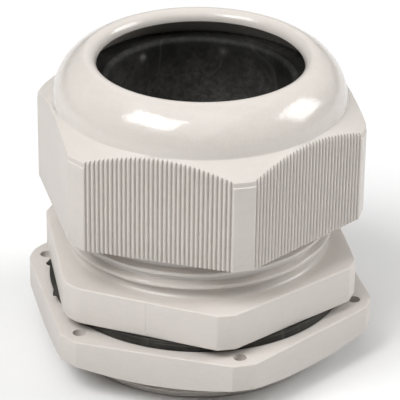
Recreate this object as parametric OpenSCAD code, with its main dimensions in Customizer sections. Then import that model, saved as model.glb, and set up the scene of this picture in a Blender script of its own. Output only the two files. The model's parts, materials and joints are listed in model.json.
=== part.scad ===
// Large polyamide cable gland with a PG48 connection thread, for a cable of 37 to 44 mm.
// It stands on the end of its connection thread, with +Z along the cable.
// The origin is on the axis, in the plane of the thread's lower end.
// One corner of the body's hexagon points along -Y, and two of its flats face +X and -X.

/* [Connection thread] */
// Outside diameter of the connection thread, PG48
thread_d = 59.3; // [58.5:0.1:59.5]
// Length of the connection thread below the body's hexagon
thread_len = 16; // [15:0.5:20]
// Diameter of the passage through the connection thread
passage_d = 48; // [46:0.5:49]
// Width of the chamfer at the end of the connection thread
thread_chamfer = 0.8; // [0.4:0.1:1.2]

/* [Body] */
// Body hexagon across its flats
body_af = 64; // [63:0.5:66]
// Body hexagon across the flattened corners
body_corner_d = 71.6; // [70.5:0.1:72.5]
// Height of the body hexagon
body_hex_h = 8.5; // [7:0.5:10]
// Outside diameter of the neck's coarse thread
neck_d = 58.6; // [58:0.1:58.8]
// Pitch of the neck's coarse thread
neck_pitch = 3; // [2.5:0.5:3]
// Depth of the neck's thread ridges
neck_ridge = 1.3; // [1:0.1:1.5]
// Height of the neck above the hexagon
neck_h = 21.5; // [20:0.5:22]
// Diameter of the bore that guides the clamping cage
guide_d = 51.4; // [51:0.1:51.6]
// Height of the seat where the cage stops, above the hexagon's underside
seat_h = 10; // [9:0.5:12]

/* [Dome nut] */
// Nut hexagon across its flats
nut_af = 65; // [64.5:0.5:67]
// Nut hexagon across the flattened corners
nut_corner_d = 72.5; // [72:0.1:73.5]
// Turn of the nut's hexagon against the body's
nut_turn = 5; // [0:0.1:30]
// Open length of neck between the body's hexagon and the nut, as the nut is set
neck_gap = 10.4; // [9.5:0.1:11]
// Height from the nut's lower face to the foot of its dome
nut_dome_z = 24.1; // [23:0.1:25]
// Diameter of the foot of the dome
dome_foot_d = 63.4; // [62.5:0.1:64]
// Radius of the dome's rounding
dome_r = 10.6; // [10:0.1:11]
// Depth of the rounding's centre below the foot of the dome
dome_sink = 0.5; // [0:0.1:1]
// Slope of the shoulder between the flats and the dome
shoulder_angle = 38.5; // [34:0.5:42]
// Clear diameter of the cable opening
opening_d = 44.6; // [43:0.1:45]
// Radius of the rolled lip round the opening
lip_r = 2.2; // [1.8:0.1:2.6]
// Height of the step at the top of the flattened corners
corner_step_h = 0.95; // [0.6:0.05:1.5]
// Grooves on each ribbed flat
groove_count = 33; // [25:2:35]
// Depth of the grooves between the ribs
rib_depth = 0.4; // [0.2:0.05:0.5]

/* [Cage and seal] */
// Fingers round the clamping cage
finger_count = 14; // [10:1:18]
// Width of the slots between the fingers
finger_slot = 1.6; // [1:0.1:2.5]
// Wall of the cage
cage_wall = 2.3; // [2:0.1:2.6]
// Bore of the sealing bush
seal_bore_d = 39.6; // [38:0.1:41]

/* [Gasket and locknut] */
// Outside diameter of the flat gasket
gasket_d = 65.3; // [64.5:0.1:66]
// Thickness of the flat gasket
gasket_t = 2.15; // [1.5:0.05:2.5]
// Locknut across its flats
lock_af = 70; // [69:0.5:72]
// Locknut across its flattened corners
lock_corner_d = 78; // [77.5:0.1:79]
// Thickness of the locknut
lock_t = 8; // [7:0.5:9]
// Turn of the locknut's hexagon against the body's
lock_turn = 4.9; // [0:0.1:30]
// Slope of the chamfer round the locknut's lower face
lock_chamfer_angle = 22; // [15:1:30]
// Diameter of the six blind holes in the locknut's upper face
lock_hole_d = 2.8; // [2:0.1:3.5]

/* [Hidden] */
$fn = 96;

running = 0.1; // radial clearance of a running fit
clear = 0.35; // gap between pieces that pass each other
over = 1; // how far a cutter reaches past a face

polyamide = [0.84, 0.82, 0.79];
cage_grey = [0.45, 0.45, 0.44];
black_rubber = [0.09, 0.09, 0.09];

hex_z = thread_len;
hex_top_z = hex_z + body_hex_h;
seat_z = hex_z + seat_h;
neck_top_z = hex_top_z + neck_h;
neck_root_r = neck_d / 2 - neck_ridge;
neck_fillet = 1.2;
neck_mouth = 0.6; // bevel at the top of the guiding bore

nut_z = hex_top_z + neck_gap;
dome_foot_z = nut_z + nut_dome_z;
dome_foot_r = dome_foot_d / 2;
dome_foot_angle = asin(dome_sink / dome_r);
dome_centre_r = dome_foot_r - dome_r * cos(dome_foot_angle);
dome_centre_z = dome_foot_z - dome_sink;
corner_step = 0.18; // how far the step is set in from the corners
corner_step_r = nut_corner_d / 2 - corner_step;
corner_step_z = dome_foot_z - (nut_corner_d / 2 - dome_foot_r) * tan(shoulder_angle) - corner_step_h;
opening_r = opening_d / 2;
lip_centre_r = opening_r + lip_r;
// The lip lies inside the dome's rounding and touches it, which sets its height
lip_reach = dome_r - lip_r;
lip_centre_z = dome_centre_z + sqrt(pow(lip_reach, 2) - pow(lip_centre_r - dome_centre_r, 2));
dome_steps = 12;
lip_angle = atan2(lip_centre_z - dome_centre_z, lip_centre_r - dome_centre_r);
nut_bore_r = 26.9;
nut_thread_r = neck_d / 2 + running;
nut_thread_top = neck_top_z + neck_gap - 0.8; // the neck stops just short of it when the nut is down
lip_land = 0.1; // upright edge between the lip and the cone
land_z = lip_centre_z - lip_land;
cone_foot_z = land_z - (nut_bore_r - opening_r);
nut_flat_side = flat_side(nut_af, nut_corner_d);
rib_margin = 0.66; // from a corner to the middle of the first groove
ribbed_flats = [60, 120, 240, 300]; // the flats facing +X and -X are smooth

cage_r = guide_d / 2 - running;
cage_inner_r = cage_r - cage_wall;
cage_z = hex_z + 20;
cage_base_h = 5;
cage_lip_t = 2;
cage_lip_r = 21.6;
cage_chamfer = 0.5;
finger_taper_h = 2;
bush_fit = 0.05; // slack of the bush inside the cage
flange_t = 2.8; // rim of the bush that lies over the fingers
finger_top_z = cone_foot_z - flange_t;
finger_taper = 0.8;

seal_bore_r = seal_bore_d / 2;
flange_r = nut_bore_r - 0.4;
flange_top_z = cone_foot_z + nut_bore_r - flange_r - clear * sqrt(2);
seal_top_z = cone_foot_z + 1.5;
flange_bevel = 0.9;
seal_edge = 0.5;
seal_mouth = 0.8; // bevel at the foot of the bush
seal_land_r = 21.4;

gasket_z = hex_z - gasket_t;
gasket_bore_r = thread_d / 2 + clear;
gasket_tip_angles = [167.5, 191.5]; // two points of flash left on its rim
gasket_tip_r = 34;
gasket_tip_size = 2;
lock_z = gasket_z - lock_t;
lock_bore_r = thread_d / 2 + running;
lock_mouth = 0.8;
lock_chamfer_r = lock_af / 2 - 0.5;
lock_hole_depth = 1.6;
lock_hole_pitch_r = 35.6;

// Length left of a hexagon's side once its corners are flattened
function flat_side(across_flats, across_corners) = 2 * across_corners - sqrt(3) * across_flats;

// Hexagon with flattened corners, one of them along -Y
module hex_outline(across_flats, across_corners) {
    intersection() {
        rotate(30) circle(r = across_flats / sqrt(3), $fn = 6);
        circle(r = across_corners / sqrt(3), $fn = 6);
    }
}

// Row of upright grooves that leave ribs on one flat, the flat facing +X
module rib_grooves(across_flats, side, count, depth) {
    pitch = (side - 2 * rib_margin) / (count - 1);
    for (i = [0 : count - 1])
        translate([across_flats / 2, (i - (count - 1) / 2) * pitch])
            square([2 * depth, pitch / 2], center = true);
}

// The stem, the neck and the bore through them, as a half section
module body_section() {
    polygon(concat(
        [
            [passage_d / 2, 0],
            [thread_d / 2 - thread_chamfer, 0],
            [thread_d / 2, thread_chamfer],
            [thread_d / 2, hex_z + over],
            [thread_d / 2, hex_top_z - over],
            [neck_root_r + neck_fillet, hex_top_z - over],
            [neck_root_r + neck_fillet, hex_top_z]
        ],
        [for (a = [15 : 15 : 90])
            [neck_root_r + neck_fillet * (1 - sin(a)), hex_top_z + neck_fillet * (1 - cos(a))]],
        neck_ridges(),
        [
            [guide_d / 2 + neck_mouth, neck_top_z],
            [guide_d / 2, neck_top_z - neck_mouth],
            [guide_d / 2, seat_z],
            [passage_d / 2, seat_z]
        ]
    ));
}

// Ridges of the neck's coarse thread: root, flank, crest, flank, once each pitch
function neck_ridges() = let (
    start = hex_top_z + neck_fillet + 0.2,
    turns = floor((neck_top_z - start) / neck_pitch)
) [for (i = [0 : turns - 1]) each [
    [neck_root_r, start + i * neck_pitch],
    [neck_d / 2, start + (i + 0.25) * neck_pitch],
    [neck_d / 2, start + (i + 0.5) * neck_pitch],
    [neck_root_r, start + (i + 0.75) * neck_pitch]
], [neck_root_r, neck_top_z]];

module gland_body() {
    color(polyamide) union() {
        rotate_extrude() body_section();
        difference() {
            translate([0, 0, hex_z])
                linear_extrude(body_hex_h) hex_outline(body_af, body_corner_d);
            translate([0, 0, hex_z - over])
                cylinder(r = passage_d / 2, h = seat_h + over);
        }
    }
}

// The nut's solid of revolution: corner step, shoulder, dome and rolled lip, closed to the axis
module nut_envelope() {
    polygon(concat(
        [
            [0, nut_z],
            [nut_corner_d / 2 + over, nut_z],
            [nut_corner_d / 2 + over, corner_step_z],
            [corner_step_r, corner_step_z],
            [corner_step_r, dome_foot_z - (corner_step_r - dome_foot_r) * tan(shoulder_angle)]
        ],
        [for (i = [0 : dome_steps])
            let (a = dome_foot_angle + (lip_angle - dome_foot_angle) * i / dome_steps)
            [dome_centre_r + dome_r * cos(a), dome_centre_z + dome_r * sin(a)]],
        [for (a = [lip_angle + 10 : 10 : 180])
            [lip_centre_r + lip_r * cos(a), lip_centre_z + lip_r * sin(a)]],
        [
            [opening_r, lip_centre_z],
            [0, lip_centre_z]
        ]
    ));
}

// Everything inside the nut: thread bore, cage space, cone and opening
module nut_cavity() {
    polygon([
        [0, nut_z - over],
        [nut_thread_r + over, nut_z - over],
        [nut_thread_r + over, nut_z],
        [nut_thread_r, nut_z + over],
        [nut_thread_r, nut_thread_top],
        [nut_bore_r, nut_thread_top + 1],
        [nut_bore_r, cone_foot_z],
        [opening_r, land_z],
        [opening_r, dome_foot_z + dome_r + over],
        [0, dome_foot_z + dome_r + over]
    ]);
}

module dome_nut() {
    color(polyamide) rotate(nut_turn) difference() {
        intersection() {
            rotate_extrude() nut_envelope();
            translate([0, 0, nut_z]) linear_extrude(nut_dome_z + dome_r + over) difference() {
                hex_outline(nut_af, nut_corner_d);
                for (a = ribbed_flats)
                    rotate(a) rib_grooves(nut_af, nut_flat_side, groove_count, rib_depth);
            }
        }
        rotate_extrude() nut_cavity();
    }
}

module clamping_cage() {
    color(cage_grey) difference() {
        rotate_extrude() polygon([
            [cage_lip_r, cage_z],
            [cage_r - cage_chamfer, cage_z],
            [cage_r, cage_z + cage_chamfer],
            [cage_r, finger_top_z - finger_taper_h],
            [cage_r - finger_taper, finger_top_z],
            [cage_inner_r, finger_top_z],
            [cage_inner_r, cage_z + cage_lip_t],
            [cage_lip_r, cage_z + cage_lip_t]
        ]);
        for (i = [0 : finger_count - 1])
            rotate(360 / finger_count * i)
                translate([cage_inner_r - over, -finger_slot / 2, cage_z + cage_base_h])
                    cube([cage_wall + 2 * over, finger_slot, finger_top_z]);
    }
}

module sealing_bush() {
    seal_z = cage_z + cage_lip_t;
    color(black_rubber) rotate_extrude() polygon([
        [seal_bore_r + seal_mouth, seal_z],
        [cage_inner_r - bush_fit, seal_z],
        [cage_inner_r - bush_fit, finger_top_z],
        [flange_r, finger_top_z],
        [flange_r, flange_top_z],
        [flange_r - flange_bevel, flange_top_z + flange_bevel],
        [seal_land_r + seal_edge, flange_top_z + flange_bevel],
        [seal_land_r, seal_top_z - seal_edge],
        [seal_land_r - seal_edge, seal_top_z],
        [seal_bore_r + seal_edge, seal_top_z],
        [seal_bore_r, seal_top_z - seal_edge],
        [seal_bore_r, seal_z + seal_mouth]
    ]);
}

module flat_gasket() {
    color(black_rubber) translate([0, 0, gasket_z]) difference() {
        union() {
            cylinder(d = gasket_d, h = gasket_t);
            for (a = gasket_tip_angles)
                rotate(a) translate([gasket_tip_r - gasket_tip_size, 0, 0])
                    cylinder(r = gasket_tip_size, h = gasket_t, $fn = 3);
        }
        translate([0, 0, -over]) cylinder(r = gasket_bore_r, h = gasket_t + 2 * over);
    }
}

// The locknut's outside as a half section: the chamfer runs round its lower face
module lock_envelope() {
    chamfer_run = lock_corner_d / 2 + over - lock_chamfer_r;
    polygon([
        [0, lock_z],
        [lock_chamfer_r, lock_z],
        [lock_chamfer_r + chamfer_run, lock_z + chamfer_run * tan(lock_chamfer_angle)],
        [lock_chamfer_r + chamfer_run, gasket_z],
        [0, gasket_z]
    ]);
}

module locknut() {
    color(polyamide) rotate(lock_turn) difference() {
        intersection() {
            rotate_extrude() lock_envelope();
            translate([0, 0, lock_z]) linear_extrude(lock_t) hex_outline(lock_af, lock_corner_d);
        }
        rotate_extrude() polygon([
            [0, lock_z - over],
            [lock_bore_r + lock_mouth + over, lock_z - over],
            [lock_bore_r, lock_z + lock_mouth],
            [lock_bore_r, gasket_z - lock_mouth],
            [lock_bore_r + lock_mouth + over, gasket_z + over],
            [0, gasket_z + over]
        ]);
        for (i = [0 : 5])
            rotate(60 * i - 90)
                translate([lock_hole_pitch_r, 0, gasket_z - lock_hole_depth])
                    cylinder(d = lock_hole_d, h = lock_hole_depth + over);
    }
}

gland_body();
clamping_cage();
sealing_bush();
dome_nut();
flat_gasket();
locknut();
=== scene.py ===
"""A large cable gland in light grey polyamide, standing on the end of its stem.

Sizes are in millimetres and angles in degrees, unless a name says otherwise.
Each piece is a ring-shaped solid: rows of points round the gland's axis, joined
into one closed skin. Threads, ribs, slots and holes are made by geometry nodes.
"""

import json
import logging
import math
from dataclasses import dataclass, field
from enum import Enum

import bpy
import numpy as np
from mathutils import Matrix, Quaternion, Vector

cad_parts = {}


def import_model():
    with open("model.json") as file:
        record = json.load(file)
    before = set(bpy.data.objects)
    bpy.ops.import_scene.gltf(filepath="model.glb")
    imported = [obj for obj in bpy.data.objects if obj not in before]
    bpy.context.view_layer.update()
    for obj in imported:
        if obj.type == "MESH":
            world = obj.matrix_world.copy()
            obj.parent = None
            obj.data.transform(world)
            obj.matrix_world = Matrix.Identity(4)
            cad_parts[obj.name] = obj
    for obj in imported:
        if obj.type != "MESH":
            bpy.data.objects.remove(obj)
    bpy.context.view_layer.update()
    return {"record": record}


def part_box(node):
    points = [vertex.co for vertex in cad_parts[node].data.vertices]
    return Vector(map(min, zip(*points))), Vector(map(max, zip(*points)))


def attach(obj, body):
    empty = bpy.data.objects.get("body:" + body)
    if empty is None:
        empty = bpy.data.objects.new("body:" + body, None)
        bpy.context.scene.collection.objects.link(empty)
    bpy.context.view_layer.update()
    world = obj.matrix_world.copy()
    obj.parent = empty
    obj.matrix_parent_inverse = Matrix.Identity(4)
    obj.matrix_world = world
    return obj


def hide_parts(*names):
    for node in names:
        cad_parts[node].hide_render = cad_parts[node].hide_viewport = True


Socket = bpy.types.NodeSocket
Piece = bpy.types.Object
Material = bpy.types.Material
Values = float | np.ndarray
Colour = tuple[float, float, float]
Inputs = dict[str | int, object]

MM = 0.001  # one millimetre in the frame's metres
STRIPS_ON_FLAT = 16
CLOSE_COLUMNS = (-0.7, -0.36, -0.18, 0.0, 0.18, 0.36, 0.7)
ROUNDED_SPAN = 18.0
ROUNDED_STEP = 0.75
HOLE_SIDES = 40
PLASTIC_IOR = 1.5
LOG = logging.getLogger("cable_gland")


class Polish(Enum):
    """How far the mould was polished where it made a surface."""

    SATIN = 0.0
    SILKY = 0.45
    GLOSSY = 1.0


class Corner(Enum):
    """Which way a rounded outer edge turns, following the outline round the solid."""

    LOWER = "from the underside up on to the wall"
    UPPER = "from the wall over on to the top"


# ---------------------------------------------------------------- skins


@dataclass
class Ring:
    """One row of points round the axis, with a value of each mark at every point."""

    angles: np.ndarray
    radii: np.ndarray
    heights: np.ndarray
    marks: dict[str, np.ndarray]
    first: int

    def __len__(self) -> int:
        """Number of points in the row."""
        return len(self.angles)


@dataclass
class RingSkin:
    """The closed skin of a ring-shaped piece, built row by row along its outline."""

    rings: list[Ring] = field(default_factory=list)
    size: int = 0

    def row(self, angles: np.ndarray, radius: Values, height: Values,
            **marks: Values) -> None:
        """Adds a row of points.

        Args:
            angles: where the row's points stand round the axis, in rising order.
            radius: distance from the axis, one for all or one for each point.
            height: height above the foot of the stem, one for all or one for each point.
            marks: named values that the points carry for the node trees and finishes.
        """
        full = {name: np.broadcast_to(np.asarray(value, float), angles.shape) for name, value in marks.items()}
        ring = Ring(angles, np.broadcast_to(np.asarray(radius, float), angles.shape),
                    np.broadcast_to(np.asarray(height, float), angles.shape), full, self.size)
        self.rings.append(ring)
        self.size += len(ring)

    def edge(self, angles: np.ndarray, radius: Values, height: Values,
             rounding: float, corner: Corner, steps: int = 3, **marks: Values) -> None:
        """Adds the rows of a rounded outer edge.

        Args:
            angles: where the points stand round the axis.
            radius: radius of the wall that the edge belongs to.
            height: height of the flat face that the edge belongs to.
            rounding: radius of the rounding.
            corner: which way the outline turns here.
            steps: how many strips the rounding has.
            marks: named values for the points.
        """
        for step in range(steps + 1):
            share = step / steps if corner is Corner.LOWER else 1 - step / steps
            turn = math.radians(90 * share)
            lift = rounding * (1 - math.cos(turn))
            self.row(angles, radius - rounding * (1 - math.sin(turn)),
                     height + (lift if corner is Corner.LOWER else -lift), **marks)

    def outline(self, angles: np.ndarray, points: list[tuple[float, float]], **marks: float) -> None:
        """Adds one row for each radius and height of an outline, with the same marks."""
        for radius, height in points:
            self.row(angles, radius, height, **marks)

    def threaded(self, angles: np.ndarray, radius: float, start: float, end: float, step: float,
                 fades: tuple[float, float], mark: str = "thread", **marks: float) -> None:
        """Adds the rows of a wall whose thread fades in and out at its ends.

        Args:
            angles: where the points stand round the axis.
            radius: radius of the plain wall.
            start: height of the first row.
            end: height where the rows stop, below the first where the outline runs down.
            step: height from row to row.
            fades: heights in which the thread fades at its lower and its upper end.
            mark: name of the thread's mark.
            marks: other named values for the points.
        """
        low, high = min(start, end), max(start, end)
        for height in np.arange(start, end, math.copysign(step, end - start)):
            share = min(1.0, (height - low) / fades[0], (high - height) / fades[1])
            self.row(angles, radius, height, **{mark: share}, **marks)

    @staticmethod
    def _strip(low: Ring, high: Ring) -> list[tuple[int, ...]]:
        """Joins two neighbouring rows.

        Args:
            low: the earlier row along the outline.
            high: the later row.

        Returns:
            The strip's faces: quads where the rows match, else triangles taken in order of angle.
        """
        count = len(low)
        if count == len(high) and np.allclose(low.angles, high.angles):
            return [(low.first + i, low.first + (i + 1) % count, high.first + (i + 1) % count, high.first + i)
                    for i in range(count)]
        faces: list[tuple[int, ...]] = []
        i = j = 0
        low_angles = np.append(low.angles, low.angles[0] + 360)
        high_angles = np.append(high.angles, high.angles[0] + 360)
        while i < len(low) or j < len(high):
            here, there = low.first + i % len(low), high.first + j % len(high)
            if j >= len(high) or (i < len(low) and low_angles[i + 1] <= high_angles[j + 1]):
                i += 1
                faces.append((here, low.first + i % len(low), there))
            else:
                j += 1
                faces.append((here, high.first + j % len(high), there))
        return faces

    def piece(self, name: str) -> Piece:
        """Joins the rows, the last one to the first, and makes the piece.

        Args:
            name: the piece's name.

        Returns:
            The piece's object, at the origin, with its place in its mesh.
        """
        points = np.concatenate([np.column_stack((
            ring.radii * np.cos(np.radians(ring.angles)), ring.radii * np.sin(np.radians(ring.angles)),
            ring.heights)) for ring in self.rings]) * MM
        faces = [face for low, high in zip(self.rings, self.rings[1:] + self.rings[:1])
                 for face in self._strip(low, high)]
        mesh = bpy.data.meshes.new(name)
        mesh.from_pydata(points.tolist(), [], faces)
        names = sorted({mark for ring in self.rings for mark in ring.marks})
        for mark in names:
            layer = mesh.attributes.new(mark, "FLOAT", "POINT")
            values = np.concatenate([ring.marks.get(mark, np.zeros(len(ring))) for ring in self.rings])
            layer.data.foreach_set("value", values.astype(np.float32))
        piece = bpy.data.objects.new(name, mesh)
        bpy.context.scene.collection.objects.link(piece)
        return piece


def even_angles(count: int) -> np.ndarray:
    """Angles of a row of evenly spaced points."""
    return np.arange(count) * 360.0 / count


def arc(centre: tuple[float, float], radius: float, start: float, end: float,
        steps: int) -> list[tuple[float, float]]:
    """Radius and height of points along an arc, whose angles are 0 away from the axis and 90 up."""
    turns = np.radians(np.linspace(start, end, steps + 1))
    return [(centre[0] + radius * math.cos(turn), centre[1] + radius * math.sin(turn)) for turn in turns]


@dataclass(frozen=True)
class Hexagon:
    """A spanner hexagon with flattened corners; one may be rounder, and one flat may have a mould line."""

    across_flats: float
    across_corners: float
    turn: float = 0.0
    softness: float = 0.1
    rounded_corner: float = 0.0
    roundness: float = 0.0
    rounded_reach: float = 19.2
    rounded_fade: float = 12.0
    witness: float = 0.0
    witness_half_angle: float = 0.15
    witness_height: float = 0.07

    @property
    def side(self) -> float:
        """Length left of each flat between its flattened corners."""
        return 2 * self.across_corners - math.sqrt(3) * self.across_flats

    @property
    def corner_half_angle(self) -> float:
        """Half the angle that a flattened corner takes up round the axis."""
        return 30 - math.degrees(math.atan2(self.side / 2, self.across_flats / 2))

    def radii(self, angles: np.ndarray) -> np.ndarray:
        """Distance of the outline from the axis.

        Args:
            angles: directions round the axis.

        Returns:
            The radius in each direction, with the edges softened a little.
        """
        from_flat = np.radians((angles - self.turn + 30) % 60 - 30)
        from_corner = np.radians((angles - self.turn) % 60 - 30)
        flat = self.across_flats / 2 / np.cos(from_flat)
        corner = self.across_corners / 2 / np.cos(from_corner)
        off_rounded = (angles - self.rounded_corner + 180) % 360 - 180
        roundness = np.clip((self.rounded_reach - np.abs(off_rounded)) / self.rounded_fade, 0, 1) * self.roundness
        softness = self.softness + roundness
        near = np.maximum(softness - np.abs(flat - corner), 0)
        radii = np.minimum(flat, corner) - near ** 2 / (4 * softness)
        if self.witness:
            off_witness = np.abs(angles - self.witness) / self.witness_half_angle
            radii += self.witness_height * np.clip(1 - off_witness, 0, 1)
        return radii

    def columns(self) -> np.ndarray:
        """Directions of the columns, from 0 to 360: close at the edges, evenly spaced between.

        Returns:
            Angles in rising order.
        """
        half = self.corner_half_angle
        close = np.array(CLOSE_COLUMNS)
        around: list[np.ndarray] = []
        for number in range(6):
            corner = self.turn + 30 + 60 * number
            around += [corner - half + close, np.array([corner]), corner + half + close]
            start, end = corner + half + close[-1], corner + 60 - half + close[0]
            around.append(np.linspace(start, end, STRIPS_ON_FLAT + 1)[1:-1])
        if self.witness:
            around.append(self.witness + self.witness_half_angle * np.array([-1.0, 0.0, 1.0]))
        if self.roundness:
            around.append(self.rounded_corner + np.arange(-ROUNDED_SPAN, ROUNDED_SPAN, ROUNDED_STEP))
        return np.unique(np.round(np.concatenate(around) % 360, 6))


# ---------------------------------------------------------------- node trees


class Nodes:
    """A node tree under construction."""

    def __init__(self, tree: bpy.types.NodeTree) -> None:
        """Takes the tree that the nodes go into."""
        self.tree = tree

    def node(self, kind: str, inputs: Inputs | None = None, **settings: object) -> bpy.types.Node:
        """Adds a node.

        Args:
            kind: the node's type.
            inputs: a socket or a value for each input, by name or place.
            settings: properties of the node.

        Returns:
            The new node.
        """
        made = self.tree.nodes.new(kind)
        for label, value in settings.items():
            setattr(made, label, value)
        for place, value in (inputs or {}).items():
            self.feed(made.inputs[place], value)
        return made

    def feed(self, socket: Socket, value: object) -> None:
        """Links a socket to another, or sets its value."""
        if isinstance(value, Socket):
            self.tree.links.new(value, socket)
        else:
            socket.default_value = value

    def out(self, kind: str, inputs: Inputs | None = None, **settings: object) -> Socket:
        """Adds a node, as node does, and gives its first output."""
        return self.node(kind, inputs, **settings).outputs[0]

    def calc(self, operation: str, *values: object) -> Socket:
        """Combines sockets or numbers with one operation of arithmetic."""
        return self.out("ShaderNodeMath", dict(enumerate(values)), operation=operation)


class ShapeTree(Nodes):
    """A geometry node tree, with its named inputs."""

    def __init__(self, name: str, sizes: dict[str, float]) -> None:
        """Starts a tree that takes a geometry and the named sizes.

        Args:
            name: the tree's name.
            sizes: name and value of each input; a whole number makes a whole-number input.
        """
        super().__init__(bpy.data.node_groups.new(name, "GeometryNodeTree"))
        self.sizes = sizes
        face = self.tree.interface
        face.new_socket("Geometry", in_out="INPUT", socket_type="NodeSocketGeometry")
        face.new_socket("Geometry", in_out="OUTPUT", socket_type="NodeSocketGeometry")
        for label, value in sizes.items():
            kind = "NodeSocketInt" if isinstance(value, int) else "NodeSocketFloat"
            face.new_socket(label, in_out="INPUT", socket_type=kind)
        self.given = self.node("NodeGroupInput")

    def size(self, label: str) -> Socket:
        """Socket of one of the named inputs."""
        return self.given.outputs[label]

    def mark(self, name: str) -> Socket:
        """Value of one of the skin's marks."""
        return self.out("GeometryNodeInputNamedAttribute", {"Name": name}, data_type="FLOAT")

    def place(self) -> tuple[Socket, ...]:
        """The three coordinates of the points, as sockets."""
        position = self.out("GeometryNodeInputPosition")
        return tuple(self.node("ShaderNodeSeparateXYZ", {0: position}).outputs)

    def finish(self, geometry: Socket, material: Material) -> None:
        """Ends the tree in real geometry with its finish.

        Args:
            geometry: the finished shape.
            material: the finish of every face.
        """
        real = self.out("GeometryNodeRealizeInstances", {"Geometry": geometry})
        dressed = self.out("GeometryNodeSetMaterial", {"Geometry": real, "Material": material})
        self.feed(self.node("NodeGroupOutput").inputs[0], dressed)

    def run(self, piece: Piece) -> None:
        """Runs the tree on a piece and keeps the result as its plain mesh.

        Args:
            piece: the object whose mesh is replaced.
        """
        modifier = piece.modifiers.new(self.tree.name, "NODES")
        modifier.node_group = self.tree
        for item in self.tree.interface.items_tree:
            if item.in_out == "INPUT" and item.name in self.sizes:
                modifier[item.identifier] = self.sizes[item.name]
        worked = piece.evaluated_get(bpy.context.evaluated_depsgraph_get())
        mesh = bpy.data.meshes.new_from_object(worked)
        piece.modifiers.remove(modifier)
        old, piece.data = piece.data, mesh
        name = old.name
        bpy.data.meshes.remove(old)
        mesh.name = name


@dataclass(frozen=True)
class Thread:
    """A right-hand thread, raised or cut round a wall whose points carry its mark."""

    pitch: float
    ridge: float
    crest_share: float
    flank_share: float
    phase: float = 0.0
    mark: str = "thread"

    def cut(self, piece: Piece, material: Material) -> None:
        """Raises the thread's ridge out of the wall, or sinks it where the ridge is negative.

        Args:
            piece: the piece that has the wall.
            material: the piece's finish.
        """
        tree = ShapeTree(f"{piece.name}_{self.mark}", {
            "Pitch": self.pitch * MM, "Ridge Height": self.ridge * MM, "Phase": self.phase,
            "Crest Share": self.crest_share, "Flank Share": self.flank_share})
        x, y, z = tree.place()
        turns = tree.calc("DIVIDE", tree.calc("ARCTAN2", y, x), 2 * math.pi)
        climbed = tree.calc("SUBTRACT", tree.calc("DIVIDE", z, tree.size("Pitch")), turns)
        phase = tree.calc("FRACT", tree.calc("ADD", climbed, tree.size("Phase")))
        off_crest = tree.calc("MULTIPLY", tree.calc("ABSOLUTE", tree.calc("SUBTRACT", phase, 0.5)), 2.0)
        root = tree.calc("MULTIPLY_ADD", tree.size("Flank Share"), 2.0, tree.size("Crest Share"))
        shape = tree.out("ShaderNodeMapRange", {
            "Value": off_crest, "From Min": root, "From Max": tree.size("Crest Share"), "To Min": 0.0,
            "To Max": 1.0}, interpolation_type="SMOOTHSTEP")
        share = tree.calc("MULTIPLY", shape, tree.mark(self.mark))
        raised = tree.calc("MULTIPLY", share, tree.size("Ridge Height"))
        outward = tree.out("ShaderNodeVectorMath", {0: tree.out("ShaderNodeCombineXYZ", {0: x, 1: y})},
                           operation="NORMALIZE")
        shift = tree.out("ShaderNodeVectorMath", {0: outward, "Scale": raised}, operation="SCALE")
        moved = tree.out("GeometryNodeSetPosition", {"Geometry": tree.size("Geometry"), "Offset": shift})
        tree.finish(moved, material)
        tree.run(piece)


@dataclass(frozen=True)
class CutterRing:
    """Equal cuts spaced evenly round the axis: blind holes, or slots that leave fingers."""

    count: int
    circle_radius: float
    width: float
    foot: float
    top: float
    first_turn: float = 0.0
    slot_depth: float = 0.0

    def cut(self, piece: Piece, material: Material) -> None:
        """Cuts the holes or slots out of a piece.

        Args:
            piece: the piece to cut.
            material: the piece's finish.
        """
        tree = ShapeTree(f"{piece.name}_cuts", {
            "Count": self.count, "Circle Radius": self.circle_radius * MM, "Cut Width": self.width * MM,
            "Cut Height": (self.top - self.foot) * MM, "Cut Middle": (self.top + self.foot) / 2 * MM,
            "Slot Depth": self.slot_depth * MM})
        circle = tree.out("GeometryNodeMeshCircle", {
            "Vertices": tree.size("Count"), "Radius": tree.size("Circle Radius")})
        turned = tree.out("GeometryNodeTransform", {
            "Geometry": circle, "Rotation": (0.0, 0.0, math.radians(self.first_turn))})
        cutters = self._spread(tree, turned)
        cut = tree.node("GeometryNodeMeshBoolean", operation="DIFFERENCE", solver="EXACT")
        tree.feed(cut.inputs["Mesh 1"], tree.size("Geometry"))
        tree.feed(cut.inputs["Mesh 2"], cutters)
        tree.finish(cut.outputs[0], material)
        tree.run(piece)

    def _cutter(self, tree: ShapeTree) -> Socket:
        """One cutter, centred on its own origin: a box for a slot, a cylinder for a hole."""
        if self.slot_depth:
            size = tree.out("ShaderNodeCombineXYZ", {
                0: tree.size("Slot Depth"), 1: tree.size("Cut Width"), 2: tree.size("Cut Height")})
            return tree.out("GeometryNodeMeshCube", {"Size": size})
        return tree.out("GeometryNodeMeshCylinder", {
            "Vertices": HOLE_SIDES, "Radius": tree.calc("MULTIPLY", tree.size("Cut Width"), 0.5),
            "Depth": tree.size("Cut Height")})

    def _spread(self, tree: ShapeTree, points: Socket) -> Socket:
        """Puts a copy of the cutter at each point, at its height and facing away from the axis."""
        x, y, _ = tree.place()
        spin = tree.out("ShaderNodeCombineXYZ", {2: tree.calc("ARCTAN2", y, x)})
        lift = tree.out("ShaderNodeCombineXYZ", {2: tree.size("Cut Middle")})
        raised = tree.out("GeometryNodeTransform", {"Geometry": self._cutter(tree), "Translation": lift})
        spread = tree.out("GeometryNodeInstanceOnPoints", {
            "Points": points, "Instance": raised, "Rotation": spin})
        return tree.out("GeometryNodeRealizeInstances", {"Geometry": spread})


# ---------------------------------------------------------------- finishes


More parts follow.
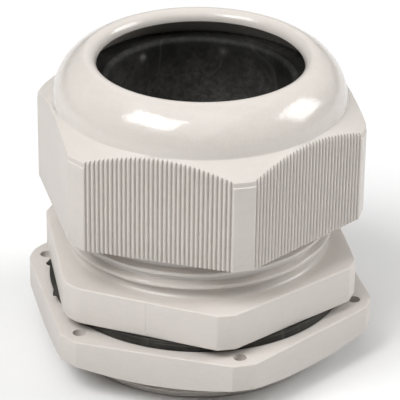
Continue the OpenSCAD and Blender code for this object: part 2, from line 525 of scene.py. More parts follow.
class Shader(Nodes):
    """A material's node tree."""

    def __init__(self, name: str) -> None:
        """Starts a material that has only its output and principled shader.

        Args:
            name: the material's name.
        """
        self.material = bpy.data.materials.new(name)
        self.material.use_nodes = True
        super().__init__(self.material.node_tree)
        self.surface = self.tree.nodes["Principled BSDF"]
        self.place = self.node("ShaderNodeTexCoord").outputs["Object"]

    def put(self, name: str, value: object) -> None:
        """Sets one input of the principled shader, or links it to a socket."""
        self.feed(self.surface.inputs[name], value)

    def noise(self, per_mm: float, detail: float = 2.0, stretch: tuple[float, float, float] = (1, 1, 1),
              roughness: float = 0.5, turn: tuple[float, float, float] = (0, 0, 0)) -> Socket:
        """A noise pattern on object coordinates.

        Args:
            per_mm: how many of its features go into a millimetre.
            detail: octaves of finer noise.
            stretch: how much finer the pattern is along each axis.
            roughness: weight of the finer noise.
            turn: angles that turn the pattern about the axes.

        Returns:
            The pattern's value, from 0 to 1.
        """
        turned = tuple(math.radians(angle) for angle in turn)
        scaled = self.out("ShaderNodeMapping", {
            "Vector": self.place, "Rotation": turned, "Scale": stretch})
        return self.out("ShaderNodeTexNoise", {
            "Vector": scaled, "Scale": per_mm / MM, "Detail": detail, "Roughness": roughness})

    def between(self, value: Socket, low: object, high: object, start: float = 0.0,
                end: float = 1.0) -> Socket:
        """Spreads a value over a new range: low where it is at start, high where it is at end."""
        return self.out("ShaderNodeMapRange", {
            "Value": value, "From Min": start, "From Max": end, "To Min": low, "To Max": high})

    def blend(self, share: Socket, low: Colour, high: Colour) -> Socket:
        """Mixes two colours by a share from 0 to 1."""
        mix = self.node("ShaderNodeMix", data_type="RGBA")
        self.feed(mix.inputs[0], share)
        for socket, colour in ((mix.inputs[6], low), (mix.inputs[7], high)):
            self.feed(socket, (*colour, 1.0))
        return mix.outputs[2]

    def bump(self, height: Socket, depth: float, strength: object = 1.0,
             under: "Socket | None" = None) -> Socket:
        """Adds relief to the surface.

        Args:
            height: the relief's pattern.
            depth: height of the relief in millimetres.
            strength: share of the relief that shows.
            under: normal of a coarser relief below this one.

        Returns:
            The new normal.
        """
        inputs: Inputs = {"Height": height, "Distance": depth * MM, "Strength": strength}
        if under is not None:
            inputs["Normal"] = under
        return self.out("ShaderNodeBump", inputs)


def shade(colour: Colour, by: float) -> Colour:
    """A colour made lighter or darker by a factor."""
    return tuple(min(part * by, 1.0) for part in colour)


@dataclass(frozen=True)
class MouldedPolyamide:
    """Moulded polyamide: glossy where the mould was polished, elsewhere with a fine satin grain."""

    name: str
    colour: Colour
    satin: float = 0.5
    gloss: float = 0.11
    drag: float = 0.0
    tone_range: float = 0.04
    wave_depth: float = 0.12
    grain_depth: float = 0.008
    drag_depth: float = 0.03
    sheer: float = 0.12
    sheer_depth: float = 0.8

    def material(self) -> Material:
        """Makes the finish.

        Returns:
            The material, which reads the polish mark of the piece's points.
        """
        shader = Shader(self.name)
        polish = shader.node("ShaderNodeAttribute", attribute_name="polish").outputs["Fac"]
        clouds = shader.calc("MULTIPLY", shader.noise(0.045, detail=4, roughness=0.6), 0.5)
        mottle = shader.calc("MULTIPLY", shader.noise(2.2, detail=3, roughness=0.7), 0.6)
        streaks = shader.noise(0.35, detail=4, stretch=(1.0, 1.0, 4.0), roughness=0.6)
        tone = shader.calc("ADD", clouds, shader.calc("MULTIPLY_ADD", streaks, 0.4, mottle))
        shader.put("Base Color", shader.blend(
            shader.between(tone, 0.0, 1.0, 0.55, 0.95), shade(self.colour, 1 - self.tone_range),
            shade(self.colour, 1 + self.tone_range)))
        handling = shader.noise(0.1, detail=3)
        satin = shader.between(handling, self.satin - 0.02, self.satin + 0.03, 0.2, 0.8)
        gloss = shader.between(handling, self.gloss - 0.03, self.gloss + 0.06, 0.2, 0.8)
        roughness = shader.out("ShaderNodeMix", {0: polish, 2: satin, 3: gloss}, data_type="FLOAT")
        shader.put("Roughness", roughness)
        waves = shader.noise(0.36, detail=4, roughness=0.6)
        relief = shader.bump(waves, self.wave_depth, shader.between(polish, 0.0, 0.9, 0.5, 1.0))
        grain = shader.noise(5.5, detail=3, roughness=0.6)
        relief = shader.bump(grain, self.grain_depth, shader.between(polish, 0.5, 0.06), relief)
        if self.drag:
            facing = shader.node("ShaderNodeNewGeometry").outputs["Normal"]
            upward = shader.calc("ABSOLUTE", shader.node("ShaderNodeSeparateXYZ", {0: facing}).outputs[2])
            lines = shader.noise(1.0, detail=3, stretch=(1.0, 1.0, 0.02))
            on_walls = shader.between(upward, self.drag, 0.0, 0.1, 0.4)
            relief = shader.bump(lines, self.drag_depth, on_walls, relief)
        shader.put("Normal", relief)
        shader.put("IOR", PLASTIC_IOR)
        shader.put("Subsurface Weight", self.sheer)
        shader.put("Subsurface Radius", (1.0, 0.85, 0.7))
        shader.put("Subsurface Scale", self.sheer_depth * MM)
        return shader.material


@dataclass(frozen=True)
class PaintedGlint:
    """A painted glint: a pale spot of painted highlight, given by its place and its radius in millimetres."""

    place: tuple[float, float, float]
    radius: float
    strength: float


@dataclass(frozen=True)
class MouldedRubber:
    """Black moulded rubber with a dusty bloom, scratches and faint moulding lines, and where given, painted
    light: a pale colour painted on lower down, and pale painted glints.
    """

    name: str
    colour: Colour
    # pale colour of the bloom, the scratches and the moulding lines; the painted light and the painted glints use
    # it too
    bloom_and_highlight: Colour
    roughness: float = 0.42
    shine: float = 0.5
    dust: float = 0.35
    bands: float = 0.0
    # heights of the painted light on the bore's wall: the pale colour is painted in most at the lower height and
    # not at all at the upper
    painted_light_heights: tuple[float, float] | None = None
    # pale spots painted in where lamps would glint: painted highlights
    painted_glints: tuple[PaintedGlint, ...] = ()

    def material(self) -> Material:
        """Makes the finish.

        Returns:
            The material.
        """
        shader = Shader(self.name)
        patches = shader.noise(0.1, detail=6, roughness=0.65)
        fine = shader.noise(0.8, detail=4, roughness=0.7)
        smear = shader.between(patches, 0.0, self.dust, 0.42, 0.75)
        share = shader.calc("MULTIPLY", smear, shader.between(fine, 0.4, 1.6, 0.35, 0.65))
        for per_mm, width, strength in ((0.035, 0.012, 0.14), (0.06, 0.008, 0.12)):
            contour = shader.calc("ABSOLUTE", shader.calc("SUBTRACT", shader.noise(per_mm, detail=1), 0.5))
            share = shader.calc("MAXIMUM", share, shader.between(contour, strength, 0.0, 0.0, width))
        scratch = shader.noise(0.55, detail=2, stretch=(1.0, 1.0, 0.05), turn=(0.0, 24.0, 0.0))
        share = shader.calc("MAXIMUM", share, shader.between(scratch, 0.0, 0.45, 0.66, 0.78))
        if self.bands:
            ring = shader.noise(0.8, detail=3, stretch=(0.06, 0.06, 4.0))
            share = shader.calc("MAXIMUM", share, shader.between(ring, 0.0, self.bands, 0.52, 0.75))
        # painted light: the wall painted paler towards the lower height, where light falls into the bore
        if self.painted_light_heights:
            height = shader.node("ShaderNodeSeparateXYZ", {0: shader.place}).outputs[2]
            deep = shader.between(height, 0.45, 0.0, self.painted_light_heights[0] * MM, self.painted_light_heights[1] * MM)
            broken = shader.between(fine, 0.5, 1.2, 0.35, 0.65)
            share = shader.calc("ADD", share, shader.calc("MULTIPLY", deep, broken))
        # painted highlights: the pale colour painted in round each glint's spot
        for glint in self.painted_glints:
            share = shader.calc("ADD", share, self._spot(shader, glint, fine))
        # mixes the black with the pale colour, which carries the bloom and marks, and also the painted light and
        # painted glints where given
        shader.put("Base Color", shader.blend(share, self.colour, self.bloom_and_highlight))
        shader.put("Roughness", shader.between(patches, self.roughness - 0.06, self.roughness + 0.14, 0.35, 0.7))
        relief = shader.bump(shader.noise(0.2, detail=3), 0.12, 0.4)
        relief = shader.bump(shader.noise(6.0, detail=2), 0.01, 0.5, relief)
        shader.put("Normal", relief)
        shader.put("IOR", PLASTIC_IOR)
        shader.put("Specular IOR Level", self.shine)
        return shader.material

    @staticmethod
    def _spot(shader: Shader, glint: PaintedGlint, fine: Socket) -> Socket:
        """Share of pale colour round one painted glint, a painted highlight.

        Args:
            shader: the finish under construction.
            glint: the spot.
            fine: fine pattern that breaks up the spot's edge.

        Returns:
            The share, strongest in the middle of the spot.
        """
        middle = tuple(part * MM for part in glint.place)
        away = shader.node("ShaderNodeVectorMath", {0: shader.place, 1: middle}, operation="DISTANCE")
        near = shader.between(away.outputs["Value"], glint.strength, 0.0, 0.0, glint.radius * MM)
        broken = shader.between(fine, 0.5, 1.3, 0.35, 0.65)
        return shader.calc("MULTIPLY", shader.calc("POWER", near, 2.5), broken)


BODY_FINISH = MouldedPolyamide("polyamide_body", (0.578, 0.54, 0.503), satin=0.46, drag=0.5)
NUT_FINISH = MouldedPolyamide("polyamide_nut", (0.578, 0.54, 0.503), satin=0.48)
LOCKNUT_FINISH = MouldedPolyamide("polyamide_locknut", (0.55, 0.513, 0.479), satin=0.42)
CAGE_FINISH = MouldedPolyamide("polyamide_cage", (0.18, 0.18, 0.175), satin=0.42)
BUSH_FINISH = MouldedRubber(
    "rubber_bush", (0.010, 0.010, 0.0092), (0.13, 0.126, 0.118), roughness=0.6, shine=0.16, dust=0.16,
    # painted light on the bush: its wall painted paler lower down, and painted glints with the soft painted
    # highlights round them
    painted_light_heights=(47.0, 60.0), painted_glints=(
        PaintedGlint((-9.9, 17.1, 60.3), 1.7, 1.2), PaintedGlint((-11.0, 16.4, 59.4), 5.0, 0.4),
        PaintedGlint((8.1, 18.1, 60.2), 1.8, 0.8), PaintedGlint((6.5, 18.7, 60.0), 6.0, 0.3),
        PaintedGlint((-17.0, 10.0, 59.0), 6.0, 0.45)))
GASKET_FINISH = MouldedRubber("rubber_gasket", (0.016, 0.0155, 0.0135), (0.16, 0.152, 0.135), roughness=0.5,
                              shine=0.22, dust=0.25, bands=0.5)


def settle(piece: Piece, node: str, body: str, crease: float = 34.0) -> Piece:
    """Shades a finished piece and ties it to the frame.

    Args:
        piece: the finished piece.
        node: the CAD node that it stands for.
        body: the body that it moves with.
        crease: angle above which an edge stays sharp.

    Returns:
        The piece.
    """
    piece.data.shade_smooth()
    piece.data.set_sharp_from_angle(angle=math.radians(crease))
    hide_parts(node)
    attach(piece, body)
    LOG.info("%s: %d faces, rides on %s", piece.name, len(piece.data.polygons), body)
    return piece


def span(node: str) -> tuple[float, float]:
    """Lowest and highest height of a CAD node, in millimetres."""
    low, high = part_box(node)
    return low.z / MM, high.z / MM


def pitch_of(record: dict, joint: str) -> float:
    """Travel of a sliding joint in one turn of the thread that drives it, in millimetres."""
    couplings = record["behaviour"]["couplings"]
    return next(c["ratio"] for c in couplings if c["joint"] == joint) * 2 * math.pi / MM


# ---------------------------------------------------------------- the gland's pieces


@dataclass
class GlandBody:
    """The fixed middle: connection thread, spanner hexagon, neck with a coarse thread, and the bore."""

    neck_pitch: float
    stem_pitch: float
    stem_length: float = 16.0
    stem_radius: float = 29.65
    stem_ridge: float = 0.75
    passage_radius: float = 24.0
    seat_height: float = 10.0
    guide_radius: float = 25.7
    neck_radius: float = 29.3
    neck_ridge: float = 1.3
    neck_fillet: float = 1.2
    hexagon: Hexagon = Hexagon(64.0, 71.6, softness=0.14, rounded_corner=210.0, roundness=0.9, witness=240.0)
    hexagon_height: float = 8.5
    hexagon_edge: float = 0.35
    columns: int = 216

    def build(self) -> Piece:
        """Makes the body.

        Returns:
            The finished piece.
        """
        top = span("gland_body")[1]
        round_ = even_angles(self.columns)
        skin = RingSkin()
        self._stem(skin, round_)
        self._hexagon(skin)
        self._neck(skin, round_, top)
        self._bore(skin, round_, top)
        piece = skin.piece("gland_body_moulding")
        material = BODY_FINISH.material()
        Thread(self.stem_pitch, self.stem_ridge, crest_share=0.12, flank_share=0.36).cut(piece, material)
        Thread(self.neck_pitch, self.neck_ridge, crest_share=0.2, flank_share=0.26, mark="neck_thread").cut(
            piece, material)
        return settle(piece, "gland_body", "gland_body")

    def _stem(self, skin: RingSkin, round_: np.ndarray) -> None:
        """Adds the end of the stem and its threaded wall."""
        root = self.stem_radius - self.stem_ridge
        skin.outline(round_, [(self.passage_radius + 0.6, 0.0), (root - 0.5, 0.0), (root, 0.5)])
        start, end = 0.6, self.stem_length - 0.9
        skin.threaded(round_, root, start, end, self.stem_pitch / 8, (0.8, 0.8))
        skin.outline(round_, [(root, end), (self.stem_radius, self.stem_length - 0.3),
                              (self.stem_radius, self.stem_length)])

    def _hexagon(self, skin: RingSkin) -> None:
        """Adds the spanner hexagon."""
        angles = self.hexagon.columns()
        radii = self.hexagon.radii(angles)
        foot, top = self.stem_length, self.stem_length + self.hexagon_height
        skin.edge(angles, radii, foot, self.hexagon_edge, Corner.LOWER)
        skin.edge(angles, radii, top, self.hexagon_edge, Corner.UPPER)

    def _neck(self, skin: RingSkin, round_: np.ndarray, top: float) -> None:
        """Adds the fillet at the neck's foot and the neck's coarse thread."""
        root = self.neck_radius - self.neck_ridge
        foot = self.stem_length + self.hexagon_height
        fillet = arc((root + self.neck_fillet, foot + self.neck_fillet), self.neck_fillet, 270, 180, 6)
        skin.outline(round_, [(root + self.neck_fillet + 0.8, foot)] + fillet, polish=Polish.SILKY.value)
        start, end = foot + self.neck_fillet + 0.1, top - 0.9
        skin.threaded(round_, root, start, end, self.neck_pitch / 14, (0.5, 0.8), "neck_thread",
                      polish=Polish.SILKY.value)
        skin.outline(round_, [(root, end), (root - 0.3, top)], polish=Polish.SILKY.value)

    def _bore(self, skin: RingSkin, round_: np.ndarray, top: float) -> None:
        """Adds the bore that guides the cage, its seat and the passage through the stem."""
        seat = self.stem_length + self.seat_height
        skin.outline(round_, [(self.guide_radius + 0.6, top), (self.guide_radius, top - 0.6)])
        skin.outline(round_, [(self.guide_radius, height) for height in np.linspace(top - 1.2, seat + 0.4, 5)])
        skin.outline(round_, [(self.guide_radius, seat), (self.passage_radius + 0.3, seat),
                              (self.passage_radius, seat - 0.3), (self.passage_radius, seat / 2),
                              (self.passage_radius, 0.6)])


@dataclass
class DomeNut:
    """The domed cap nut: ribbed flats, conical shoulder, glossy dome and rolled lip."""

    pitch: float
    hexagon: Hexagon = Hexagon(65.0, 72.5, turn=5.0, softness=0.06)
    ribbed_flats: tuple[int, ...] = (1, 2, 4, 5)
    groove_count: int = 33
    rib_margin: float = 0.66
    rib_depth: float = 0.57
    rib_half_share: float = 0.4
    rib_columns: tuple[float, ...] = (-0.5, -0.42, -0.38, -0.3, -0.17, 0.0, 0.17, 0.3, 0.38, 0.42)
    # rows over the ribs' tops: drop below the shoulder, inset on the ribs and beside them, groove depth left
    rib_tops: tuple[tuple[float, ...], ...] = (
        (0.85, 0.0, 0.0, 1.0), (0.5, 0.0, 0.0, 0.92), (0.24, 0.06, 0.0, 0.75), (0.07, 0.18, 0.02, 0.5),
        (0.0, 0.4, 0.08, 0.2))
    plain_drop: float = 0.25
    foot_edge: float = 0.3
    dome_foot_height: float = 24.1
    dome_foot_radius: float = 31.7
    dome_radius: float = 10.6
    dome_sink: float = 0.5
    shoulder_angle: float = 38.5
    corner_step: float = 0.2
    corner_step_drop: float = 0.95
    opening_radius: float = 22.3
    lip_radius: float = 2.2
    lip_land: float = 0.1
    bore_radius: float = 26.9
    thread_radius: float = 29.4
    thread_ridge: float = 1.0
    thread_top: float = 55.6
    columns: int = 216
    foot: float = field(init=False)
    dome_foot: float = field(init=False)
    lip_height: float = field(init=False)
    round_: np.ndarray = field(init=False)

    def __post_init__(self) -> None:
        """Works out the heights of the mouth, the dome's foot and the middle of the rolled lip."""
        self.foot = span("dome_nut")[0]
        self.dome_foot = self.foot + self.dome_foot_height
        run = self.opening_radius + self.lip_radius - self._dome_centre()[0]
        self.lip_height = self._dome_centre()[1] + math.sqrt((self.dome_radius - self.lip_radius) ** 2 - run ** 2)
        self.round_ = even_angles(self.columns)

    def build(self) -> Piece:
        """Makes the nut.

        Returns:
            The finished piece.
        """
        skin = RingSkin()
        self._skirt(skin)
        self._dome(skin)
        self._inside(skin)
        piece = skin.piece("dome_nut_moulding")
        material = NUT_FINISH.material()
        self._raise_ribs(piece, material)
        Thread(self.pitch, -self.thread_ridge, crest_share=0.12, flank_share=0.25, phase=0.5).cut(piece, material)
        return settle(piece, "dome_nut", "dome_nut")

    def _dome_start(self) -> float:
        """Angle of the dome's arc where it meets the shoulder."""
        return math.degrees(math.asin(self.dome_sink / self.dome_radius))

    def _dome_centre(self) -> tuple[float, float]:
        """Radius and height of the centre of the dome's arc."""
        return (self.dome_foot_radius - self.dome_radius * math.cos(math.radians(self._dome_start())),
                self.dome_foot - self.dome_sink)

    def _rib_pitch(self) -> float:
        """Distance from one groove to the next, with the same margin at both corners of a flat."""
        return (self.hexagon.side - 2 * self.rib_margin) / (self.groove_count - 1)

    def _skirt_columns(self) -> tuple[np.ndarray, dict[str, np.ndarray]]:
        """Columns of the skirt, which are closest on the ribs.

        Returns:
            Their angles, and the marks that tell the rib tree where each one stands on its flat.
        """
        ribs = np.arange(-self.groove_count / 2, self.groove_count / 2 + 1)
        across_ribs = (ribs[:, None] + np.array(self.rib_columns)).ravel() * self._rib_pitch()
        half_field = self.groove_count / 2 * self._rib_pitch()
        across_ribs = across_ribs[np.abs(across_ribs) < half_field]
        angles, across, turns, shares = [], [], [], []
        plain = self.hexagon.columns()
        for flat in range(6):
            middle = self.hexagon.turn + 60 * flat
            ribbed = flat in self.ribbed_flats
            near = plain[np.abs((plain - middle + 180) % 360 - 180) <= 30]
            beside = np.tan(np.radians((near - middle + 180) % 360 - 180)) * self.hexagon.across_flats / 2
            if ribbed:
                keep = np.abs(beside) > half_field + 0.05
                beside = np.sort(np.concatenate([beside[keep], across_ribs]))
            angles.append(middle + np.degrees(np.arctan2(beside, self.hexagon.across_flats / 2)))
            across.append(beside)
            turns.append(np.full(len(beside), math.radians(middle)))
            shares.append(np.where(np.abs(beside) < half_field, 1.0, 0.0) if ribbed else np.zeros(len(beside)))
        order_by = np.concatenate(angles) % 360
        order_by, chosen = np.unique(np.round(order_by, 5), return_index=True)
        return order_by, {
            "across": np.concatenate(across)[chosen] * MM, "flat_turn": np.concatenate(turns)[chosen],
            "rib": np.concatenate(shares)[chosen]}

    def _skirt(self, skin: RingSkin) -> None:
        """Adds the mouth's face, the hexagonal wall and the outer part of the shoulder."""
        angles, marks = self._skirt_columns()
        radii = self.hexagon.radii(angles)
        skin.row(self.round_, self.thread_radius + 1.0, self.foot)
        skin.edge(angles, radii, self.foot, self.foot_edge, Corner.LOWER, steps=2, **marks)
        skin.row(angles, radii, self.foot + 8.0, **marks)
        slope = math.tan(math.radians(self.shoulder_angle))
        corner_radius = self.hexagon.across_corners / 2
        step = self.dome_foot - (corner_radius - self.dome_foot_radius) * slope - self.corner_step_drop
        skin.row(angles, radii, step - 0.1, **marks)
        radii = np.minimum(radii, corner_radius - self.corner_step)
        skin.row(angles, radii, step + 0.12, **marks)
        on_rib = marks.pop("rib")
        for drop, rounded, crisp, depth in self.rib_tops:
            drops = drop * np.where(on_rib > 0, 1.0, self.plain_drop)
            skin.row(angles, radii - np.where(on_rib > 0, rounded, crisp), self.dome_foot, seat=1.0,
                     drop=drops * MM, rib=on_rib * depth, **marks)
        skin.row(angles, radii - 0.8, self.dome_foot, seat=1.0)
        skin.row(self.round_, self.dome_foot_radius + 0.3, self.dome_foot, seat=1.0)

    def _dome(self, skin: RingSkin) -> None:
        """Adds the crease at the dome's foot, the dome and its rolled lip."""
        start, centre = self._dome_start(), self._dome_centre()
        lip = self.opening_radius + self.lip_radius
        end = math.degrees(math.atan2(self.lip_height - centre[1], lip - centre[0]))
        skin.row(self.round_, self.dome_foot_radius + 0.06, self.dome_foot, seat=1.0, polish=0.6)
        skin.outline(self.round_, arc(centre, self.dome_radius, start + 0.6, end, 28), polish=Polish.GLOSSY.value)
        skin.outline(self.round_, arc((lip, self.lip_height), self.lip_radius, end, 180, 10)[1:],
                     polish=Polish.GLOSSY.value)

    def _inside(self, skin: RingSkin) -> None:
        """Adds the cone that presses on the bush, the bore and the threaded wall."""
        land = self.lip_height - self.lip_land
        cone_foot = land - (self.bore_radius - self.opening_radius)
        cone = np.linspace(0, 1, 5)[:, None] * [self.bore_radius - self.opening_radius, cone_foot - land]
        skin.outline(self.round_, [(self.opening_radius + run, land + rise) for run, rise in cone])
        skin.outline(self.round_, [
            (self.bore_radius, self.thread_top + 1.3), (self.bore_radius, self.thread_top + 1.0),
            (self.thread_radius, self.thread_top)])
        skin.threaded(self.round_, self.thread_radius, self.thread_top - 0.6, self.foot + 1.2, self.pitch / 14,
                      (1.0, 0.8))
        skin.row(self.round_, self.thread_radius, self.foot + 1.0)

    def _raise_ribs(self, piece: Piece, material: Material) -> None:
        """Sinks the grooves between the ribs and sets the skirt's top on the shoulder.

        Args:
            piece: the nut.
            material: the nut's finish.
        """
        tree = ShapeTree("ribbed_skirt", {
            "Rib Pitch": self._rib_pitch() * MM, "Rib Shift": self.groove_count % 2 / 2,
            "Rib Depth": self.rib_depth * MM, "Rib Half Share": self.rib_half_share,
            "Dome Foot Radius": self.dome_foot_radius * MM, "Dome Foot Height": self.dome_foot * MM,
            "Shoulder Slope": math.tan(math.radians(self.shoulder_angle))})
        place = tree.calc("ADD", tree.calc("DIVIDE", tree.mark("across"), tree.size("Rib Pitch")),
                         tree.size("Rib Shift"))
        off_rib = tree.calc("ABSOLUTE", tree.calc("SUBTRACT", place, tree.calc("ROUND", place)))
        side = tree.calc("MINIMUM", tree.calc("DIVIDE", off_rib, tree.size("Rib Half Share")), 1.0)
        crown = tree.calc("SQRT", tree.calc("SUBTRACT", 1.0, tree.calc("MULTIPLY", side, side)))
        sunk = tree.calc("MULTIPLY", tree.calc("SUBTRACT", 1.0, crown),
                        tree.calc("MULTIPLY", tree.size("Rib Depth"), tree.mark("rib")))
        inward = tree.calc("MULTIPLY", sunk, -1.0)
        turn = tree.mark("flat_turn")
        shift = tree.out("ShaderNodeCombineXYZ", {
            0: tree.calc("MULTIPLY", inward, tree.calc("COSINE", turn)),
            1: tree.calc("MULTIPLY", inward, tree.calc("SINE", turn))})
        grooved = tree.out("GeometryNodeSetPosition", {"Geometry": tree.size("Geometry"), "Offset": shift})
        x, y, z = tree.place()
        radius = tree.calc("SQRT", tree.calc("MULTIPLY_ADD", x, x, tree.calc("MULTIPLY", y, y)))
        fall = tree.calc("MULTIPLY", tree.calc("SUBTRACT", radius, tree.size("Dome Foot Radius")),
                        tree.size("Shoulder Slope"))
        shoulder = tree.calc("SUBTRACT", tree.size("Dome Foot Height"), fall)
        seat = tree.calc("SUBTRACT", shoulder, tree.mark("drop"))
        lift = tree.calc("MULTIPLY", tree.calc("SUBTRACT", seat, z), tree.mark("seat"))
        seated = tree.out("GeometryNodeSetPosition", {
            "Geometry": grooved, "Offset": tree.out("ShaderNodeCombineXYZ", {2: lift})})
        tree.finish(seated, material)
        tree.run(piece)


@dataclass
class ClampingInsert:
    """The cage of fingers and the rubber bush that it presses on the cable."""

    cage_radius: float = 25.6
    cage_wall: float = 2.3
    cage_lip_radius: float = 21.6
    cage_lip: float = 2.0
    cage_base: float = 5.0
    finger_count: int = 14
    finger_slot: float = 1.6
    finger_taper: float = 0.8
    bush_fit: float = 0.05
    bush_bore: float = 19.8
    flange_radius: float = 26.5
    flange_drop: float = 1.6
    flange_bevel: float = 0.9
    lip_radius: float = 20.9
    columns: int = 192

    def build(self) -> list[Piece]:
        """Makes the cage and the bush."""
        return [self._cage(), self._bush()]

    def _cage(self) -> Piece:
        """Makes the cage and cuts its slots."""
        foot, top = span("clamping_cage")
        inner = self.cage_radius - self.cage_wall
        round_ = even_angles(self.columns)
        skin = RingSkin()
        skin.outline(round_, [(self.cage_lip_radius + 0.3, foot), (self.cage_radius - 0.5, foot),
                              (self.cage_radius, foot + 0.5), (self.cage_radius, (foot + top) / 2),
                              (self.cage_radius, top - 2.0), (self.cage_radius - self.finger_taper, top - 0.2),
                              (self.cage_radius - self.finger_taper - 0.2, top), (inner + 0.2, top),
                              (inner, top - 0.2), (inner, foot + self.cage_lip),
                              (self.cage_lip_radius, foot + self.cage_lip), (self.cage_lip_radius, foot + 0.3)],
                     polish=Polish.SILKY.value)
        piece = skin.piece("clamping_cage_moulding")
        CutterRing(self.finger_count, inner + self.cage_wall / 2, self.finger_slot, foot + self.cage_base,
                   top + 1.0, slot_depth=self.cage_wall + 2.0).cut(piece, CAGE_FINISH.material())
        return settle(piece, "clamping_cage", "clamping_insert")

    def _bush(self) -> Piece:
        """Makes the sealing bush, whose flange lies over the fingers."""
        foot, top = span("sealing_bush")
        outer = self.cage_radius - self.cage_wall - self.bush_fit
        finger_top = span("clamping_cage")[1]
        round_ = even_angles(self.columns)
        bevel_foot = top - self.flange_drop
        flat = bevel_foot + self.flange_bevel
        skin = RingSkin()
        skin.outline(round_, [(self.bush_bore + 0.8, foot), (outer, foot), (outer, finger_top),
                              (self.flange_radius - 0.15, finger_top), (self.flange_radius, finger_top + 0.15),
                              (self.flange_radius, bevel_foot)])
        bevel_centre = (self.flange_radius - self.flange_bevel, bevel_foot)
        skin.outline(round_, arc(bevel_centre, self.flange_bevel, 15, 90, 5))
        rise = top - flat
        skin.outline(round_, [(self.lip_radius + out, flat + share * rise)
                              for out, share in ((1.9, 0.0), (1.3, 0.14), (0.8, 0.45), (0.4, 0.8))])
        round_over = self.lip_radius - self.bush_bore
        skin.outline(round_, arc((self.lip_radius, top - round_over), round_over, 82, 180, 10))
        skin.outline(round_, [(self.bush_bore, height) for height in np.linspace(top - 2, foot + 0.8, 9)])
        piece = skin.piece("sealing_bush_moulding")
        piece.data.materials.append(BUSH_FINISH.material())
        return settle(piece, "sealing_bush", "clamping_insert")


@dataclass
class PanelFixing:
    """What clamps an enclosure's wall: the flat gasket and the locknut."""

    pitch: float
    gasket_radius: float = 32.65
    gasket_bore: float = 30.0
    flash_angles: tuple[float, ...] = (167.5, 191.5)
    flash_reach: float = 1.3
    flash_back: float = 6.0
    flash_front: float = 1.6
    flash_rim: float = 0.35
    flash_thickness: float = 0.45
    flash_rounding: float = 0.12
    rim_rounding: float = 0.35
    hexagon: Hexagon = Hexagon(70.0, 78.0, turn=4.9, softness=0.1, rounded_corner=154.9, roundness=1.0)
    bore_radius: float = 29.75
    thread_ridge: float = 0.5
    mouth: float = 0.8
    chamfer_angle: float = 22.0
    hole_circle: float = 35.6
    hole_width: float = 2.8
    hole_depth: float = 1.6
    # rows round the lower edge: how far each is set in from the wall and raised above the chamfer
    lower_edge: tuple[tuple[float, float], ...] = ((1.0, 0.0), (0.18, 0.0), (0.05, 0.05), (0.0, 0.2))
    top_edge: float = 0.25
    columns: int = 216

    def build(self) -> list[Piece]:
        """Makes the gasket and the locknut."""
        return [self._gasket(), self._locknut()]

    def _gasket(self) -> Piece:
        """Makes the flat gasket, with a rounded rim and the points of flash left on it."""
        foot, top = span("flat_gasket")
        beside = np.concatenate([np.linspace(-self.flash_back, 0, 7), np.linspace(0.5, self.flash_front, 3)])
        columns = [even_angles(self.columns)] + [tip + beside for tip in self.flash_angles]
        angles = np.unique(np.concatenate(columns))
        points = np.zeros(len(angles))
        for tip in self.flash_angles:
            behind, before = 1 + (angles - tip) / self.flash_back, 1 - (angles - tip) / self.flash_front
            points += np.clip(np.minimum(behind, before), 0, 1)
        between = (angles > self.flash_angles[0]) & (angles < self.flash_angles[-1])
        rim = self.gasket_radius + np.maximum(self.flash_reach * points, self.flash_rim * between)
        fin = top - self.flash_thickness
        skin = RingSkin()
        skin.row(angles, self.gasket_bore + 0.1, foot)
        skin.edge(angles, self.gasket_radius, foot, self.rim_rounding, Corner.LOWER)
        skin.row(angles, self.gasket_radius, fin - self.flash_rounding)
        skin.row(angles, rim, fin)
        skin.edge(angles, rim, top, self.flash_rounding, Corner.UPPER)
        skin.outline(angles, [(self.gasket_bore + 0.1, top), (self.gasket_bore, top - 0.1),
                              (self.gasket_bore, foot + 0.1)])
        piece = skin.piece("flat_gasket_ring")
        piece.data.materials.append(GASKET_FINISH.material())
        return settle(piece, "flat_gasket", "flat_gasket")

    def _locknut(self) -> Piece:
        """Makes the locknut, cuts its thread and drills its blind holes."""
        foot, top = span("locknut")
        angles = self.hexagon.columns()
        radii = self.hexagon.radii(angles)
        round_ = even_angles(self.columns)
        chamfer_start = self.hexagon.across_flats / 2 - 0.5
        slope = math.tan(math.radians(self.chamfer_angle))
        skin = RingSkin()
        skin.outline(round_, [(self.bore_radius + self.mouth, foot), (chamfer_start, foot)])
        for inset, rise in self.lower_edge:
            skin.row(angles, radii - inset, foot + (radii - inset - chamfer_start) * slope + rise)
        skin.edge(angles, radii, top, self.top_edge, Corner.UPPER)
        skin.row(round_, self.bore_radius + self.mouth, top)
        skin.threaded(round_, self.bore_radius, top - self.mouth - 0.1, foot + self.mouth + 0.1, self.pitch / 8,
                      (0.6, 0.6))
        skin.row(round_, self.bore_radius, foot + self.mouth)
        piece = skin.piece("locknut_moulding")
        material = LOCKNUT_FINISH.material()
        Thread(self.pitch, -self.thread_ridge, crest_share=0.1, flank_share=0.3, phase=0.5).cut(piece, material)
        CutterRing(6, self.hole_circle, self.hole_width, top - self.hole_depth, top + 1.0,
                   first_turn=self.hexagon.turn + 30).cut(piece, material)
        return settle(piece, "locknut", "locknut")


# ---------------------------------------------------------------- the studio


def toward(azimuth: float, elevation: float) -> Vector:
    """Direction to something round the gland; the azimuth runs from -Y towards +X."""
    turn, rise = math.radians(azimuth), math.radians(elevation)
    return Vector((math.sin(turn) * math.cos(rise), -math.cos(turn) * math.cos(rise), math.sin(rise)))


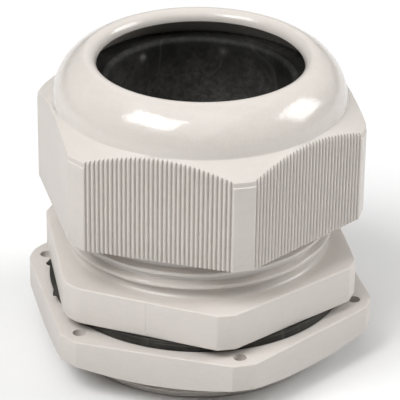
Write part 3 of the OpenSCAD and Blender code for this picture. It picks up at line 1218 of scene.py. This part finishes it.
@dataclass(frozen=True)
class Lamp:
    """A flat soft lamp that faces the gland."""

    name: str
    azimuth: float
    elevation: float
    width: float
    height: float
    watts: float
    distance: float = 1600.0
    aim_height: float = 40.0

    def hang(self) -> None:
        """Puts the lamp into the scene."""
        light = bpy.data.lights.new(self.name, "AREA")
        light.shape = "RECTANGLE"
        light.size, light.size_y = self.width * MM, self.height * MM
        light.energy = self.watts
        lamp = bpy.data.objects.new(self.name, light)
        way = toward(self.azimuth, self.elevation)
        lamp.location = (way * self.distance + Vector((0, 0, self.aim_height))) * MM
        lamp.rotation_mode = "QUATERNION"
        lamp.rotation_quaternion = (-way).to_track_quat("-Z", "Y")
        bpy.context.scene.collection.objects.link(lamp)


@dataclass
class Studio:
    """A pale floor, large soft lamps and the camera."""

    camera_azimuth: float = -10.0
    camera_elevation: float = 27.82
    camera_roll: float = 0.79
    camera_distance: float = 546.05
    camera_aim: tuple[float, float] = (0.26, -17.03)
    aim_height: float = 13.85
    lens: float = 220.1
    floor_half: float = 3.0
    floor_colour: Colour = (0.75, 0.75, 0.75)
    lamps: tuple[Lamp, ...] = (
        Lamp("key_softbox", -58.0, 52.0, 920.0, 740.0, 20.2),
        Lamp("side_umbrella", 86.0, 31.0, 820.0, 800.0, 16.8),
        Lamp("front_fill", -40.0, 62.0, 2000.0, 2000.0, 14.5),
        Lamp("overhead", 0.0, 88.0, 2000.0, 2000.0, 2.8),
        Lamp("rear_left", -150.0, 40.0, 2000.0, 2000.0, 4.8),
        Lamp("rear_right", 150.0, 40.0, 2000.0, 2000.0, 4.2))

    def build(self) -> None:
        """Sets up the floor, the lamps and the camera."""
        self._floor()
        for lamp in self.lamps:
            lamp.hang()
        self._camera()
        bpy.context.scene.view_settings.view_transform = "Standard"

    def _floor(self) -> None:
        """Lays a wide pale floor under the gland."""
        half = self.floor_half
        mesh = bpy.data.meshes.new("studio_floor")
        corners = [(-half, -half, 0), (half, -half, 0), (half, half, 0), (-half, half, 0)]
        mesh.from_pydata(corners, [], [(0, 1, 2, 3)])
        floor = bpy.data.objects.new("studio_floor", mesh)
        bpy.context.scene.collection.objects.link(floor)
        shader = Shader("studio_floor")
        shader.put("Base Color", (*self.floor_colour, 1.0))
        shader.put("Roughness", 0.9)
        mesh.materials.append(shader.material)

    def _camera(self) -> None:
        """Places the camera."""
        data = bpy.data.cameras.new("camera")
        data.sensor_width = 36.0
        data.lens = self.lens
        data.clip_start, data.clip_end = 0.05, 20.0
        camera = bpy.data.objects.new("camera", data)
        back = toward(self.camera_azimuth, self.camera_elevation)
        look = (-back).to_track_quat("-Z", "Y")
        right, up = look @ Vector((1, 0, 0)), look @ Vector((0, 1, 0))
        aim = Vector((0, 0, self.aim_height)) + right * self.camera_aim[0] - up * self.camera_aim[1]
        camera.location = (aim + back * self.camera_distance) * MM
        camera.rotation_mode = "QUATERNION"
        camera.rotation_quaternion = look @ Quaternion((0, 0, 1), math.radians(self.camera_roll))
        bpy.context.scene.collection.objects.link(camera)
        bpy.context.scene.camera = camera


def main() -> None:
    """Builds the gland and its studio."""
    logging.basicConfig(level=logging.INFO, format="%(name)s: %(message)s")
    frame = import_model()
    record = frame["record"]
    neck_pitch = pitch_of(record, "clamp_travel")
    stem_pitch = pitch_of(record, "gasket_travel")
    GlandBody(neck_pitch, stem_pitch).build()
    ClampingInsert().build()
    DomeNut(neck_pitch).build()
    PanelFixing(stem_pitch).build()
    Studio().build()


if __name__ == "__main__":
    main()
